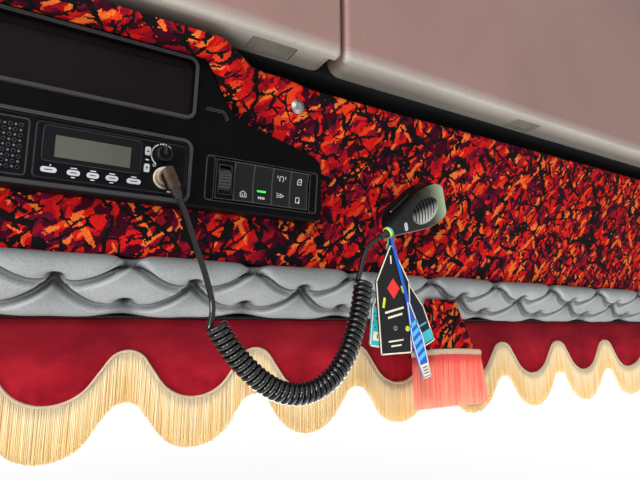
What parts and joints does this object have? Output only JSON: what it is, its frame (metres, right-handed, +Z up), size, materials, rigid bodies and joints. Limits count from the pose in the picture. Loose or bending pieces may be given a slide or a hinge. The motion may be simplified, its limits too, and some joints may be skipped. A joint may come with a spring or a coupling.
{
  "type": "overhead cab header",
  "caption": "Full width overhead header of a truck cab: three lockers, plush fascia, radio console, tufted pad and fringed pelmet.",
  "frame": {"origin": "middle of the four fixing holes, on the rear face of the back panel", "axes": "+X to the right along the header's length, +Y forward out of the back panel's rear face, +Z up"},
  "size_m": [2.1, 0.3615, 0.8036],
  "materials": {
    "carcass_board": "matte",
    "cheek_board": "fine grain",
    "door_skin": "fine grain, satin",
    "latch_plastic": "satin",
    "hinge_steel": "satin",
    "plush": "mottled pile",
    "pad_leather": "soft grain",
    "trim_cloth": "matte",
    "velvet": "short pile",
    "gold_fringe": "rayon strands",
    "red_fringe": "rayon strands",
    "console_plastic": "fine grain, satin",
    "switch_plastic": "satin",
    "radio_metal": "matte",
    "radio_plastic": "satin",
    "display_window": "gloss",
    "display_glass": "gloss",
    "key_plastic": "satin",
    "plug_metal": "polished",
    "relief_rubber": "satin",
    "cord_rubber": "gloss",
    "mic_plastic": "satin",
    "mic_front_plastic": "satin",
    "bracket_steel": "satin",
    "tag_card_black": "print",
    "tag_card_teal": "print",
    "tag_card_blue": "print",
    "tag_cord": "twisted"
  },
  "bodies": {
    "root": {"back_panel": "carcass_board", "blank_cover": "console_plastic", "cheeks": "cheek_board", "console_bezel": "console_plastic", "control_plate": "radio_plastic", "cord_coil": "cord_rubber", "cord_lead": "cord_rubber", "cord_tail": "cord_rubber", "dimmer_wheel": "switch_plastic", "display_glass": "display_glass", "display_window": "display_window", "dividers": "carcass_board", "fascia_board": "carcass_board", "fascia_plush": "plush", "floor_panel": "carcass_board", "hinge_fixed": "hinge_steel", "mic_back": "mic_plastic", "mic_bracket": "bracket_steel", "mic_front": "mic_front_plastic", "mic_key": "mic_plastic", "mic_plug": "plug_metal", "mic_relief": "relief_rubber", "mic_socket": "plug_metal", "mic_stud": "bracket_steel", "pad_trim": "trim_cloth", "pelmet": "velvet", "pelmet_fringe": "gold_fringe", "pennant": "plush", "pennant_fringe": "red_fringe", "plug_relief": "relief_rubber", "radio_buttons": "key_plastic", "radio_chassis": "radio_metal", "radio_face": "radio_plastic", "rear_board": "carcass_board", "recess_board": "carcass_board", "roof_panel": "carcass_board", "speaker_grille": "radio_plastic", "switch_blanks": "console_plastic", "switch_carriers": "console_plastic", "switch_rockers": "switch_plastic", "tag_black": "tag_card_black", "tag_blue": "tag_card_blue", "tag_rear": "tag_card_black", "tag_ring": "tag_cord", "tag_teal": "tag_card_teal", "trim_stud": "plug_metal", "tufted_pad": "pad_leather", "underside_board": "carcass_board", "valance_board": "carcass_board", "volume_knob": "radio_plastic"},
    "door_left": {"door_left": "door_skin", "latch_left": "latch_plastic"},
    "door_centre": {"door_centre": "door_skin", "latch_centre": "latch_plastic"},
    "door_right": {"door_right": "door_skin", "latch_right": "latch_plastic"}
  },
  "joints": [
    {"name": "lid_left", "type": "hinge", "parent": "root", "child": "door_left", "pos_m": [-0.64375, -0.316, 0.222], "axis": [-1, 0, 0], "range_deg": [0, 80]},
    {"name": "lid_centre", "type": "hinge", "parent": "root", "child": "door_centre", "pos_m": [0, -0.316, 0.222], "axis": [-1, 0, 0], "range_deg": [0, 80]},
    {"name": "lid_right", "type": "hinge", "parent": "root", "child": "door_right", "pos_m": [0.64375, -0.316, 0.222], "axis": [-1, 0, 0], "range_deg": [0, 80]}
  ]
}
